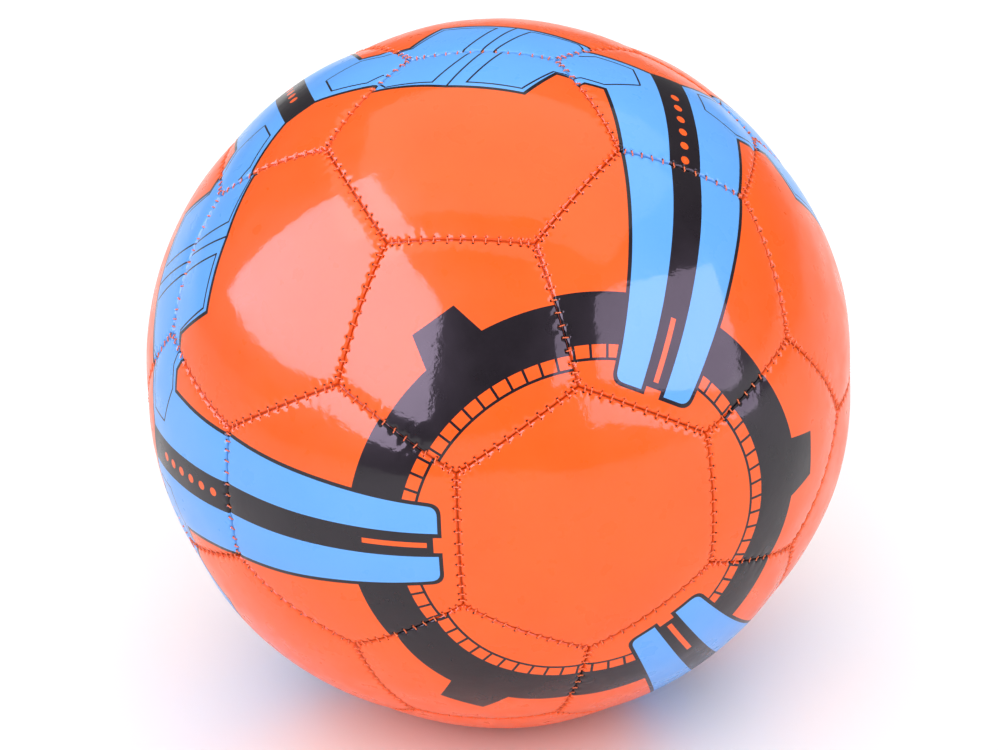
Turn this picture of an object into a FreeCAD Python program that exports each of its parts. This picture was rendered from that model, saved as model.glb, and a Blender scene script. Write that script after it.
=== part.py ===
import FreeCAD, Part
import math
import os
import re
from itertools import combinations

# A size 5 football: a cover of 12 pentagons and 20 hexagons sewn edge to edge over a rubber bladder.
# Frame: the origin is the middle of the ball. -Y goes through the middle of the front emblem, +Y
# through the valve, Z through the middle of a seam of the belt, and one tooth of the front emblem
# points along +X. Every piece is drawn with its own axis along Z and then turned to its place.

# The driving dimensions, in millimetres and degrees. The sheet holds them under these names.
SIZES = {
    "ball_radius": 110.0,             # to the crown of every panel, which makes a girth of about 690
    "hexagon_dome_radius": 95.0,      # a panel bulges, so it is rounder than the ball
    "pentagon_dome_radius": 88.0,
    "seam_gap": 0.1,                  # between the two turned-in edges of a seam
    "edge_roll": 2.4,                 # how round the skin is where it turns in at a seam
    "flange_end": 105.0,              # the turned-in edges reach in to this radius
    "skin_thickness": 1.1,            # glossy printed skin with its backing
    "foam_thickness": 2.0,
    "lining_thickness": 0.6,          # woven cloth, laminated under the foam
    "layer_clearance": 0.05,
    "wedge_root": 70.0,               # a panel is cut from a wedge lofted between these two heights
    "wedge_rim": 125.0,
    "thread_radius": 0.35,
    "thread_path_radius": 107.95,     # the thread lies down in the groove of its seam
    "thread_end_margin": 1.6,         # degrees from the end of a thread to the corner of the panels
    "bladder_radius": 104.8,
    "bladder_wall": 0.6,
    "valve_hole_radius": 4.2,         # through the cover, the patch and the bladder
    "patch_radius": 14.0,
    "patch_thickness": 0.8,
    "housing_radius": 4.1,
    "housing_top": 109.6,             # a little below the crown of the skin
    "housing_length": 15.6,
    "housing_flange_radius": 9.0,
    "housing_flange_top": 103.7,
    "housing_flange_thickness": 1.6,
    "plug_bore_radius": 2.4,
    "plug_shank_radius": 2.35,
    "plug_seat_radius": 3.2,
    "plug_seat_depth": 1.2,
    "plug_head_radius": 3.1,
    "plug_head_thickness": 1.1,
    "plug_bulb_radius": 3.3,
    "plug_bulb_length": 3.0,
    "needle_radius": 1.05,            # the passage for an inflating needle
}

GOLDEN_RATIO = (1 + math.sqrt(5)) / 2
PANEL_SIDES = {"hexagon": 6, "pentagon": 5}

# All seams are as long as each other, and their middles lie this many seam lengths from the middle of
# the ball. A panel's reach is the angle from its axis to the middle of one of its seams.
SEAM_MIDDLE = 3 * GOLDEN_RATIO / 2
SIZES["seam_half_angle"] = math.degrees(math.atan(1 / (2 * SEAM_MIDDLE)))
for kind, sides in PANEL_SIDES.items():
    inradius = 1 / (2 * math.tan(math.pi / sides))
    SIZES[f"{kind}_reach"] = math.degrees(math.asin(inradius / SEAM_MIDDLE))

# The panels lie in rings round the axis of the emblems, named from the front (-Y) to the back.
RING_NAMES = {
    "hexagon": ["front_emblem_hexagon", "front_band_hexagon", "front_belt_hexagon",
                "rear_belt_hexagon", "rear_band_hexagon", "rear_emblem_hexagon"],
    "pentagon": ["front_tooth_pentagon", "front_belt_pentagon", "rear_belt_pentagon",
                 "rear_tooth_pentagon"],
}
VALVE_PANEL = "rear_emblem_hexagon"


# ---------------------------------------------------------------- the sheet and its formulas

def make_sheet(doc):
    sheet = doc.addObject("Spreadsheet::Sheet", "Sizes")
    for row, (alias, value) in enumerate(SIZES.items(), 1):
        sheet.set(f"A{row}", alias)
        sheet.set(f"B{row}", repr(value))
        sheet.setAlias(f"B{row}", alias)
    doc.recompute()
    return sheet


def bind(item, path, formula):
    """Ties a property to a formula. The words with an underscore are sizes from the sheet."""
    item.setExpression(path, re.sub(r"\b[a-z]+(?:_[a-z]+)+\b", r"Sizes.\g<0>", formula))


# ---------------------------------------------------------------- where the panels and seams are

def icosahedron_corners():
    """The 12 corners that the pentagons replace, turned so that a face looks along -Y."""
    corners = []
    for one in (-1, 1):
        for long in (-GOLDEN_RATIO, GOLDEN_RATIO):
            corners += [FreeCAD.Vector(0, one, long), FreeCAD.Vector(one, long, 0),
                        FreeCAD.Vector(long, 0, one)]
    face_angle = math.degrees(math.atan(1 / GOLDEN_RATIO ** 2))
    turn = FreeCAD.Rotation(FreeCAD.Vector(0, 0, 1), -90 - face_angle)
    return [turn.multVec(corner) for corner in corners]


def are_neighbours(a, b):
    return a.distanceToPoint(b) < 2.1


def turned(axis, toward):
    """The placement that takes Z to an axis through the middle of the ball and X toward a point."""
    z = FreeCAD.Vector(axis).normalize()
    y = z.cross(toward).normalize()
    return FreeCAD.Placement(FreeCAD.Vector(), FreeCAD.Rotation(y.cross(z), y, z, "ZXY"))


def panel_placements():
    """Every panel's name, kind and placement. X points at one corner of the panel."""
    corners = icosahedron_corners()
    found = {"hexagon": [], "pentagon": []}
    for a in corners:
        b = next(other for other in corners if other != a and are_neighbours(a, other))
        found["pentagon"].append((a, a * 2 + b))
    for a, b, c in combinations(corners, 3):
        if are_neighbours(a, b) and are_neighbours(b, c) and are_neighbours(a, c):
            found["hexagon"].append((a + b + c, a * 2 + b))
    panels = []
    for kind, places in found.items():
        rings = {}
        for axis, toward in places:
            rings.setdefault(round(axis.y / axis.Length, 3), []).append((axis, toward))
        for ring_name, (_, ring) in zip(RING_NAMES[kind], sorted(rings.items())):
            ring.sort(key=lambda place: math.atan2(place[0].z, place[0].x + 1e-9) % (2 * math.pi - 1e-6))
            for number, (axis, toward) in enumerate(ring, 1):
                name = ring_name if len(ring) == 1 else f"{ring_name}_{number}"
                panels.append((name, kind, turned(axis, toward)))
    return panels


def seam_placements(sheet):
    """The placements of the threads, by the kind of seam. X points at the start of the thread."""
    corners = icosahedron_corners()
    half = sheet.seam_half_angle - sheet.thread_end_margin
    seams = {"hexagon": [], "pentagon": []}
    for a, b in combinations(corners, 2):
        if not are_neighbours(a, b):
            continue
        ends = {"hexagon": [(a * 2 + b, a + b * 2)], "pentagon": []}
        for corner, neighbour in ((a, b), (b, a)):
            for third in corners:
                ring_order = corner.dot(neighbour.cross(third)) > 0
                if third not in (a, b) and are_neighbours(corner, third) \
                        and are_neighbours(neighbour, third) and ring_order:
                    ends["pentagon"].append((corner * 2 + neighbour, corner * 2 + third))
        for kind, pairs in ends.items():
            for start, end in pairs:
                normal = start.cross(end)
                back = FreeCAD.Rotation(normal, -half)
                seams[kind].append(turned(normal, back.multVec(start + end)))
    return seams


# ---------------------------------------------------------------- shapes that the pieces are cut from

def add_boolean(doc, kind, name, base, tool):
    item = doc.addObject(f"Part::{kind}", name)
    item.Base = base
    item.Tool = tool
    return item


def add_sphere(doc, name, radius, middle="0"):
    """A sphere with its poles at the sides, so that no pole or seam line lies on a dome."""
    sphere = doc.addObject("Part::Sphere", name)
    sphere.Placement.Rotation = FreeCAD.Rotation(FreeCAD.Vector(0, 1, 0), 90)
    bind(sphere, "Radius", radius)
    bind(sphere, "Placement.Base.z", middle)
    return sphere


def add_cylinder(doc, name, radius, bottom, length):
    cylinder = doc.addObject("Part::Cylinder", name)
    bind(cylinder, "Radius", radius)
    bind(cylinder, "Height", length)
    bind(cylinder, "Placement.Base.z", bottom)
    return cylinder


def add_wedge(doc, name, kind, inset):
    """A pyramid's stump whose sides stand a distance in from the planes through the seams."""
    outlines = []
    for height in ("wedge_root", "wedge_rim"):
        outline = doc.addObject("Part::RegularPolygon", f"{name}_{height}")
        outline.Polygon = PANEL_SIDES[kind]
        inradius = f"({height} * tan({kind}_reach * 1deg) - ({inset}) / cos({kind}_reach * 1deg))"
        bind(outline, "Circumradius", f"{inradius} / cos(180deg / {PANEL_SIDES[kind]})")
        bind(outline, "Placement.Base.z", height)
        outlines.append(outline)
    wedge = doc.addObject("Part::Loft", name)
    wedge.Sections = outlines
    wedge.Solid = True
    wedge.Ruled = True
    return wedge


def add_domed_wedge(doc, name, kind, inset, depth):
    """A panel's wedge under a dome that lies a depth below the outside of the skin."""
    wedge = add_wedge(doc, f"{name}_wedge", kind, inset)
    dome = add_sphere(doc, f"{name}_dome", f"{kind}_dome_radius - ({depth})",
                      f"ball_radius - {kind}_dome_radius")
    return add_boolean(doc, "Common", name, wedge, dome)


def rolled_edges(shape, root):
    """The numbers of the edges of a domed wedge that are rolled: all but those of its flat root."""
    return [number for number, edge in enumerate(shape.Edges, 1)
            if max(vertex.Z for vertex in edge.Vertexes) > root + 1]


# ---------------------------------------------------------------- the cover

def add_skin_block(doc, sheet, kind):
    """The outside of a panel's skin: a dome rolled over at its edges, down to the flanges' ends."""
    domed = add_domed_wedge(doc, f"{kind}_block", kind, "seam_gap / 2", "0")
    doc.recompute()
    rolled = doc.addObject("Part::Fillet", f"{kind}_rolled_block")
    rolled.Base = domed
    edges = rolled_edges(domed.Shape, sheet.wedge_root)
    rolled.Edges = [(edge, sheet.edge_roll, sheet.edge_roll) for edge in edges]
    middle = add_sphere(doc, f"{kind}_block_middle", "flange_end")
    return add_boolean(doc, "Cut", f"{kind}_skin_block", rolled, middle)


def add_layer(doc, name, kind, top, bottom):
    """A flat layer laminated inside the skin, between two depths below the dome."""
    inset = "seam_gap / 2 + skin_thickness + layer_clearance"
    domed = add_domed_wedge(doc, f"{name}_blank", kind, inset, top)
    under = add_sphere(doc, f"{name}_under", f"{kind}_dome_radius - ({bottom})",
                       f"ball_radius - {kind}_dome_radius")
    return add_boolean(doc, "Cut", name, domed, under)


def make_cover(doc, sheet, panels, valve_hole):
    """The 32 skins, each a node, and the foam and lining inside them, grouped by panel type."""
    foam_top = "skin_thickness + layer_clearance"
    foam_bottom = f"{foam_top} + foam_thickness"
    lining_top = f"{foam_bottom} + layer_clearance"
    lining_bottom = f"{lining_top} + lining_thickness"
    nodes = []
    for kind in PANEL_SIDES:
        block = add_skin_block(doc, sheet, kind)
        pocket = add_domed_wedge(doc, f"{kind}_pocket", kind, "seam_gap / 2 + skin_thickness",
                                 "skin_thickness")
        layers = {
            f"{kind}_foam_layers": add_layer(doc, f"{kind}_foam", kind, foam_top, foam_bottom),
            f"{kind}_lining_layers": add_layer(doc, f"{kind}_lining", kind, lining_top, lining_bottom),
        }
        places = [(name, place) for name, panel_kind, place in panels if panel_kind == kind]
        for name, place in places:
            hollow = pocket
            if name == VALVE_PANEL:
                hollow = add_boolean(doc, "Fuse", f"{name}_pocket", pocket, valve_hole)
            skin = add_boolean(doc, "Cut", name, block, hollow)
            skin.Placement = place
            nodes.append(skin)
        for group_name, layer in layers.items():
            copies = []
            for name, place in places:
                source = layer
                if name == VALVE_PANEL:
                    source = add_boolean(doc, "Cut", f"{layer.Name}_with_hole", layer, valve_hole)
                copies.append((source, place))
            nodes.append(add_group(doc, group_name, copies))
    return nodes


def add_group(doc, name, copies):
    """One node of separate solids: each a copy of a drawn piece at a placement."""
    links = []
    for number, (source, place) in enumerate(copies, 1):
        link = doc.addObject("App::Link", f"{name}_{number}")
        link.LinkedObject = source
        link.Placement = place
        links.append(link)
    group = doc.addObject("Part::Compound", name)
    group.Links = links
    return group


def make_threads(doc, sheet):
    """One thread to a seam, an arc that lies in the groove between the two rolled edges."""
    thread = doc.addObject("Part::Torus", "seam_thread")
    bind(thread, "Radius1", "thread_path_radius")
    bind(thread, "Radius2", "thread_radius")
    bind(thread, "Angle3", "2 * (seam_half_angle - thread_end_margin)")
    groups = []
    for kind, places in seam_placements(sheet).items():
        groups.append(add_group(doc, f"{kind}_seam_threads", [(thread, place) for place in places]))
    return groups


# ---------------------------------------------------------------- the bladder and its valve

def make_bladder(doc, valve_hole):
    outside = add_sphere(doc, "bladder_outside", "bladder_radius")
    inside = add_sphere(doc, "bladder_inside", "bladder_radius - bladder_wall")
    shell = add_boolean(doc, "Cut", "bladder_shell", outside, inside)
    return add_boolean(doc, "Cut", "bladder", shell, valve_hole)


def make_valve_patch(doc, valve_hole):
    """A thicker disc of rubber round the valve, bonded to the outside of the bladder."""
    outside = add_sphere(doc, "patch_outside", "bladder_radius + layer_clearance + patch_thickness")
    inside = add_sphere(doc, "patch_inside", "bladder_radius + layer_clearance")
    disc = add_cylinder(doc, "patch_disc", "patch_radius", "wedge_root", "wedge_rim - wedge_root")
    cap = add_boolean(doc, "Common", "patch_cap", disc, outside)
    blank = add_boolean(doc, "Cut", "patch_blank", cap, inside)
    return add_boolean(doc, "Cut", "valve_patch", blank, valve_hole)


def make_valve_housing(doc):
    """The rubber sleeve that holds the plug: a neck through the cover and a flange in the bladder."""
    bottom = "housing_top - housing_length"
    neck = add_cylinder(doc, "housing_neck", "housing_radius", bottom, "housing_length")
    flange = add_cylinder(doc, "housing_flange", "housing_flange_radius",
                          "housing_flange_top - housing_flange_thickness", "housing_flange_thickness")
    body = add_boolean(doc, "Fuse", "housing_body", neck, flange)
    bore = add_cylinder(doc, "housing_bore", "plug_bore_radius", bottom, "housing_length")
    seat = add_cylinder(doc, "housing_seat", "plug_seat_radius", "housing_top - plug_seat_depth",
                        "plug_seat_depth")
    hollow = add_boolean(doc, "Fuse", "housing_hollow", bore, seat)
    return add_boolean(doc, "Cut", "valve_housing", body, hollow)


def make_valve_plug(doc):
    """The soft plug: a flat head, a shank, a bulb that locks it in, and the needle's passage."""
    head_bottom = "housing_top - layer_clearance - plug_head_thickness"
    bulb_top = "housing_top - housing_length - layer_clearance"
    head = add_cylinder(doc, "plug_head", "plug_head_radius", head_bottom, "plug_head_thickness")
    shank = add_cylinder(doc, "plug_shank", "plug_shank_radius", bulb_top,
                         f"{head_bottom} - ({bulb_top})")
    bulb = doc.addObject("Part::Cone", "plug_bulb")
    bind(bulb, "Radius1", "plug_shank_radius")
    bind(bulb, "Radius2", "plug_bulb_radius")
    bind(bulb, "Height", "plug_bulb_length")
    bind(bulb, "Placement.Base.z", f"{bulb_top} - plug_bulb_length")
    body = doc.addObject("Part::MultiFuse", "plug_body")
    body.Shapes = [head, shank, bulb]
    body.Refine = True
    passage = add_cylinder(doc, "needle_passage", "needle_radius", f"{bulb_top} - plug_bulb_length",
                           f"housing_top - ({bulb_top}) + plug_bulb_length")
    return add_boolean(doc, "Cut", "valve_plug", body, passage)


# ---------------------------------------------------------------- the whole ball

def check_document(doc, nodes):
    failed = [item.Name for item in doc.Objects if {"Invalid", "Error"} & set(item.State)]
    failed += [node.Name for node in nodes if node.Shape.isNull() or not node.Shape.isValid()]
    if failed:
        raise RuntimeError("these objects failed: " + ", ".join(failed))


def main():
    doc = FreeCAD.newDocument("football")
    sheet = make_sheet(doc)
    panels = panel_placements()
    valve_place = next(place for name, _, place in panels if name == VALVE_PANEL)
    valve_hole = add_cylinder(doc, "valve_hole", "valve_hole_radius", "wedge_root",
                              "wedge_rim - wedge_root")
    nodes = make_cover(doc, sheet, panels, valve_hole)
    nodes += make_threads(doc, sheet)
    for piece in (make_bladder(doc, valve_hole), make_valve_patch(doc, valve_hole),
                  make_valve_housing(doc), make_valve_plug(doc)):
        piece.Placement = valve_place
        nodes.append(piece)
    doc.recompute()
    check_document(doc, nodes)
    os.makedirs("parts", exist_ok=True)
    for node in nodes:
        node.Label = node.Name
        node.Shape.exportStep(f"parts/{node.Label}.step")
        print(node.Label, len(node.Shape.Solids), round(node.Shape.Volume), "mm3")


main()
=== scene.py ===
import math
from itertools import combinations

import bpy
import numpy as np
from mathutils import Matrix, Vector
from mathutils.geometry import delaunay_2d_cdt


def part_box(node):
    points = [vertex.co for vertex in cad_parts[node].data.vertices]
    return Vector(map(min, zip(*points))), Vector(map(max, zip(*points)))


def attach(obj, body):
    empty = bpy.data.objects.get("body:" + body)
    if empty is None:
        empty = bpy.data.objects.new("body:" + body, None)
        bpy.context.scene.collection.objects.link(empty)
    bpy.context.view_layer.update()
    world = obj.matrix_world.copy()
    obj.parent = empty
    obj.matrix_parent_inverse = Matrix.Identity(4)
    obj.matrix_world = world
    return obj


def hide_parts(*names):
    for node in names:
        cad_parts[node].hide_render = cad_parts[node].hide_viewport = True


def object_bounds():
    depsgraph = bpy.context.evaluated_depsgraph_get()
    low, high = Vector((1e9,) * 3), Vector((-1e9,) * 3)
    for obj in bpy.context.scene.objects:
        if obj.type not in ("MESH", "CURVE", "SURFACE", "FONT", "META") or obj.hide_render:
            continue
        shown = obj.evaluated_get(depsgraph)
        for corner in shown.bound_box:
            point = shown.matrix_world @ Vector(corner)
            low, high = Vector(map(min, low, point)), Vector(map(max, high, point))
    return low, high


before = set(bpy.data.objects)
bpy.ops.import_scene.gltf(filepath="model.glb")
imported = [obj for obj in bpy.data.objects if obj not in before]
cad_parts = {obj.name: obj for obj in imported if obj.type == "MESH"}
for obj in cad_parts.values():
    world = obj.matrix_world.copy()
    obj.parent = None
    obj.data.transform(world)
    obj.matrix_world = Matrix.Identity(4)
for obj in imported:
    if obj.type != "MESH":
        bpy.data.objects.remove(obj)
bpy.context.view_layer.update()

# A glossy sewn football round its CAD frame. Shapes are worked out in millimetres and made in metres.
# Printed shapes are in degrees on the ball. The emblems are at the two ends of the Y axis, the front
# one at -Y, and the rear half's print is the front half's turned inside out through the centre.

MM = 0.001
BODY = "root"
SEED = 20
GOLDEN_RATIO = (1 + math.sqrt(5)) / 2
FRONT = np.array([0.0, -1.0, 0.0])
UP = np.array([0.0, 0.0, 1.0])
RIGHT = np.array([1.0, 0.0, 0.0])

# The skin, in mm. It is a dome on each panel, rolls down into the seams and turns in there.
CROWN = -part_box("front_emblem_hexagon")[0][1] / MM
DOME_RADIUS = {"hexagon": 95.0, "pentagon": 88.0}
SKIN_THICKNESS = 1.1
FLANGE_END = 105.0              # the turned-in edges reach in to this radius
SEAM_GAP = 0.05                 # from the middle of a seam to the skin on each side of it
SEAM_REACH = 16                 # a seam shapes the skin this far in
ROLL_DEPTH = 0.85
ROLL_WIDTH = 1.2
CORNER_DEPTH = 1.15             # no corner of a panel is deeper than this many roll depths
SHOULDER_DEPTH = 0.22           # a soft dip beside the roll
SHOULDER_WIDTH = 1.3
HEXAGON_REACH = 20.905          # degrees from the middle of a hexagon to the middle of its seam
# Painted shade in the seam grooves: the print is darkened towards each seam, in place of the shade
# that falls in the groove.
PAINTED_GROOVE_SHADE_WIDTH = 0.4
PAINTED_GROOVE_SHADE = 0.68             # how light the print is in a groove, as a share of its colour
SLOPE_STEP = 0.0007             # radians, for working out the surface's slopes

# The thread pulls the skin in at each stitch and lets it out between two: by a share of the roll's
# width, by a share of the shoulder's depth, and by a tug in mm.
PULL_ON_ROLL = 0.25
PULL_ON_SHOULDER = 0.2
TUG_DEPTH = 0.045
TUG_PLACE = 1.0
TUG_WIDTH = 1.1

# Stitches and their holes, in mm. The steps between stitches are shorter near a seam's ends.
STITCHES_PER_SEAM = 13
STITCH_END_MARGIN = 1.9
STITCH_RUN_OUT = 2.4            # past a seam's last stitch the skin is pulled as if by one more
END_CROWDING = 0.42
STEP_VARIATION = 0.07
STITCH_RADIUS = 0.2
HOLE_DISTANCE = 0.98
HOLE_RADII = (0.35, 0.22)       # one side of a seam has the wide holes and the other the narrow ones
HOLE_DEPTH = 0.7

# Short creases that run in from a seam: the least and the most of each, in mm.
CREASES_PER_SEAM = (2, 6)       # of which the most is left out: 2 to 5
CREASE_LENGTH = (5, 13)
CREASE_HEIGHT = (0.02, 0.06)
CREASE_WIDTH = (0.5, 1.1)
CREASE_SLANT = (-0.4, 0.4)
CREASE_SPREAD = 0.9             # they start within this share of the seam
CREASE_START = 2.0              # and reach their full height this far in
CREASE_PROFILE = 1.6

# Waves that make the panels a little uneven: how many, how long, and how high for their length.
WAVE_COUNT = 14
WAVE_LENGTHS = (14, 60)
WAVE_HEIGHT = 0.0011

# The valve hole, in mm, with a rounded lip and a shallow dip round it.
VALVE_PANEL = "rear_emblem_hexagon"
VALVE_HOLE_RADIUS = 4.2
VALVE_LIP_WIDTH = 0.6
VALVE_LIP_DEPTH = 0.5
VALVE_DIP_WIDTH = 9.0
VALVE_DIP_DEPTH = 0.35

# The print's three inks, and near-black paint in each stitch hole as painted shade; the hole's dip is
# real geometry.
ORANGE, BLUE, BLACK, PAINTED_HOLE_SHADE = range(4)


# ---------- vectors and charts on the ball

def unit(vector):
    vector = np.asarray(vector, float)
    return vector / np.linalg.norm(vector)


def unit_rows(vectors):
    return vectors / np.linalg.norm(vectors, axis=1)[:, None]


class RoundChart:
    """Points by their distance and direction from a middle, as x and y in degrees."""

    def __init__(self, middle, x, y):
        self.middle = unit(middle)
        self.x = unit(x - self.middle * (x @ self.middle))
        self.y = unit(y - self.middle * (y @ self.middle))

    def to_ball(self, points):
        far = np.radians(np.hypot(points[:, 0], points[:, 1]))
        share = math.radians(1) * np.sinc(far / math.pi)
        return (np.cos(far)[:, None] * self.middle
                + (points[:, 0] * share)[:, None] * self.x
                + (points[:, 1] * share)[:, None] * self.y)

    def from_ball(self, ball):
        far = np.arccos(np.clip(ball @ self.middle, -1, 1))
        share = math.radians(1) * np.maximum(np.sinc(far / math.pi), 1e-6)
        return np.stack([ball @ self.x, ball @ self.y], 1) / share[:, None]


class BandChart:
    """x runs out from the middle of the emblem along a band and y is square to it, in degrees."""

    def __init__(self, middle, along):
        self.middle = unit(middle)
        self.along = unit(along - self.middle * (along @ self.middle))
        self.across = np.cross(self.middle, self.along)

    def to_ball(self, points):
        x, y = np.radians(points[:, 0:1]), np.radians(points[:, 1:2])
        return np.cos(y) * (np.cos(x) * self.middle + np.sin(x) * self.along) + np.sin(y) * self.across

    def from_ball(self, ball):
        x = np.arctan2(ball @ self.along, ball @ self.middle)
        return np.degrees(np.stack([x, np.arcsin(np.clip(ball @ self.across, -1, 1))], 1))


# ---------- where the panels and seams are

def icosahedron_corners():
    """The twelve pentagons' directions, turned so that the emblems are at the ends of the Y axis."""
    corners = []
    for one in (-1, 1):
        for long in (-GOLDEN_RATIO, GOLDEN_RATIO):
            corners += [(0, one, long), (one, long, 0), (long, 0, one)]
    turn = math.radians(-90) - math.atan(1 / GOLDEN_RATIO ** 2)
    sin_turn, cos_turn = math.sin(turn), math.cos(turn)
    return [unit((x * cos_turn - y * sin_turn, x * sin_turn + y * cos_turn, z)) for x, y, z in corners]


CORNERS = icosahedron_corners()
NEIGHBOUR_COSINE = math.cos(math.atan(2))
PENTAGON_SEAM_COSINES = 1.86    # the cosines from a pentagon's middle to its seam's ends sum to more


def are_neighbours(a, b):
    return abs(a @ b - NEIGHBOUR_COSINE) < 0.01


def node_direction(name):
    low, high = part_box(name)
    return unit([(a + b) / 2 for a, b in zip(low, high)])


def nodes_of_kind(kind):
    """The CAD nodes that are panels of a kind, with the direction of each."""
    names = [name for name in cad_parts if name.rstrip("_0123456789").endswith(kind)]
    return {name: node_direction(name) for name in names}


PANEL_NODES = {kind: nodes_of_kind(kind) for kind in DOME_RADIUS}


class Seam:
    """A seam between two panels, with the places of its stitches from the middle, in mm."""

    def __init__(self, start, end, number):
        self.middle = unit(start + end)
        self.along = unit(end - start)
        self.across = np.cross(self.middle, self.along)
        self.reach = math.acos(start @ self.middle)
        closest = max(corner @ start + corner @ end for corner in CORNERS)
        self.kind = "pentagon" if closest > PENTAGON_SEAM_COSINES else "hexagon"
        self.random = np.random.default_rng([SEED, number])
        steps = 1 - END_CROWDING * np.abs(np.linspace(-1, 1, STITCHES_PER_SEAM - 1)) ** 4
        steps *= 1 + self.random.uniform(-STEP_VARIATION, STEP_VARIATION, len(steps))
        places = np.concatenate([[0], np.cumsum(steps)])
        half = self.reach * EDGE_RADIUS - STITCH_END_MARGIN
        self.stitches = (places / places[-1] * 2 - 1) * half
        self.hole_radius = dict(zip((-1, 1), self.random.permutation(HOLE_RADII)))

    def coordinates(self, ball):
        """How far along the seam and how far across it each direction lies, in mm."""
        along = np.arctan2(ball @ self.along, ball @ self.middle) * EDGE_RADIUS
        return along, np.arcsin(np.clip(ball @ self.across, -1, 1)) * EDGE_RADIUS

    def to_ball(self, along, across):
        along, across = np.asarray(along) / EDGE_RADIUS, np.asarray(across) / EDGE_RADIUS
        flat = np.cos(along)[:, None] * self.middle + np.sin(along)[:, None] * self.along
        return np.cos(across)[:, None] * flat + np.sin(across)[:, None] * self.across

    def stitch_phase(self, along):
        """A whole number at each stitch, and a half between two."""
        first, last = self.stitches[0], self.stitches[-1]
        places = np.concatenate([[first - STITCH_RUN_OUT], self.stitches, [last + STITCH_RUN_OUT]])
        return np.interp(along, places, np.arange(len(places)))


SEAMS = {}


def seam_between(start, end):
    key = tuple(np.round(unit(start + end), 3) + 0.0)
    if key not in SEAMS:
        SEAMS[key] = Seam(start, end, len(SEAMS))
    return SEAMS[key]


# The print isn't quite centred on each panel before the ball is sewn. These are the panels where it
# shows most, with how far it is off along X, Y and Z, in mm. The others are off by up to the limit.
PRINT_SHIFT_LIMIT = 1
PRINT_SHIFTS = {
    "front_tooth_pentagon_1": (1.0, 0.5, -1.5),
    "front_tooth_pentagon_2": (-0.5, -1.0, -2.0),
    "front_tooth_pentagon_3": (2.0, 0.0, -1.0),
    "front_band_hexagon_1": (0.0, 0.0, 0.5),
    "front_band_hexagon_2": (-1.0, 0.5, -0.5),
    "front_band_hexagon_3": (1.5, 1.0, -0.5),
    "front_belt_hexagon_2": (0.0, -1.0, -0.5),
    "front_belt_hexagon_3": (0.0, 1.5, 1.0),
    "front_belt_pentagon_1": (-0.5, -1.5, 0.0),
    "front_belt_pentagon_2": (0.0, 2.0, -1.0),
}


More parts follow.
